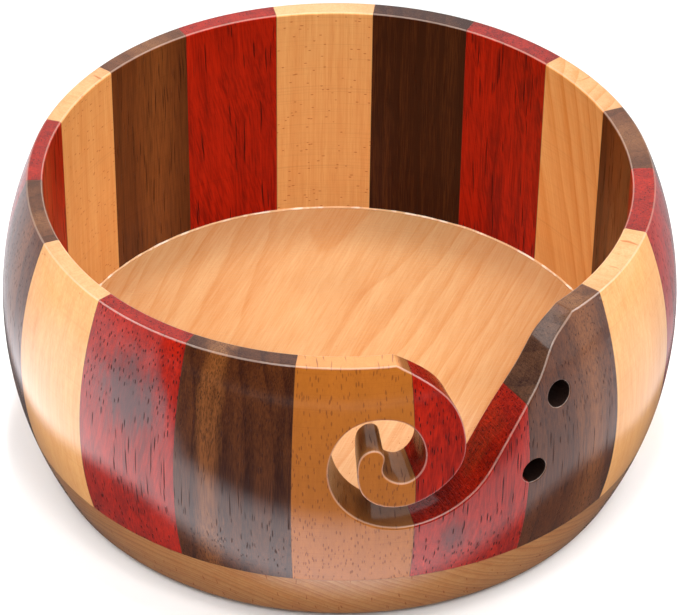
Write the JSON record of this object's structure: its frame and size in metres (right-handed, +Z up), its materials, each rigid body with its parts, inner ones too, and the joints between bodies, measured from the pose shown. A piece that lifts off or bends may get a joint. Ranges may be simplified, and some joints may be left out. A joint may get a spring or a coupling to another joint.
{
  "type": "yarn bowl",
  "caption": "Free-standing round yarn bowl of glued wood staves on a thick base, with a curled slot that guides the yarn and two round needle holes.",
  "frame": {"origin": "centre of the foot, on the surface that the bowl stands on", "axes": "+Z up through the middle of the bowl, +X to the right and +Y to the back when the yarn slot faces the viewer, with the glue joints of the staves set from +Y"},
  "size_m": [0.18, 0.1799, 0.085],
  "materials": {
    "beech": "satin lacquer over warm pale beech with fine flecks",
    "padauk": "satin lacquer over deep red padauk with long dark pores",
    "walnut": "satin lacquer over dark brown walnut with fine streaks",
    "base_beech": "satin lacquer over pale beech, grain lying flat",
    "glue": "dried translucent wood glue"
  },
  "bodies": {
    "root": {"stave_01_beech": "beech", "stave_02_padauk": "padauk", "stave_03_walnut": "walnut", "stave_04_beech": "beech", "stave_05_padauk": "padauk", "stave_06_walnut": "walnut", "stave_07_beech": "beech", "stave_08_padauk": "padauk", "stave_09_walnut": "walnut", "stave_10_beech": "beech", "stave_11_padauk": "padauk", "stave_12_walnut": "walnut", "stave_13_beech": "beech", "stave_14_padauk": "padauk", "stave_15_walnut": "walnut", "stave_16_beech": "beech", "stave_17_padauk": "padauk", "stave_18_walnut": "walnut", "base_disc": "base_beech", "glue_bead": "glue"}
  },
  "joints": []
}
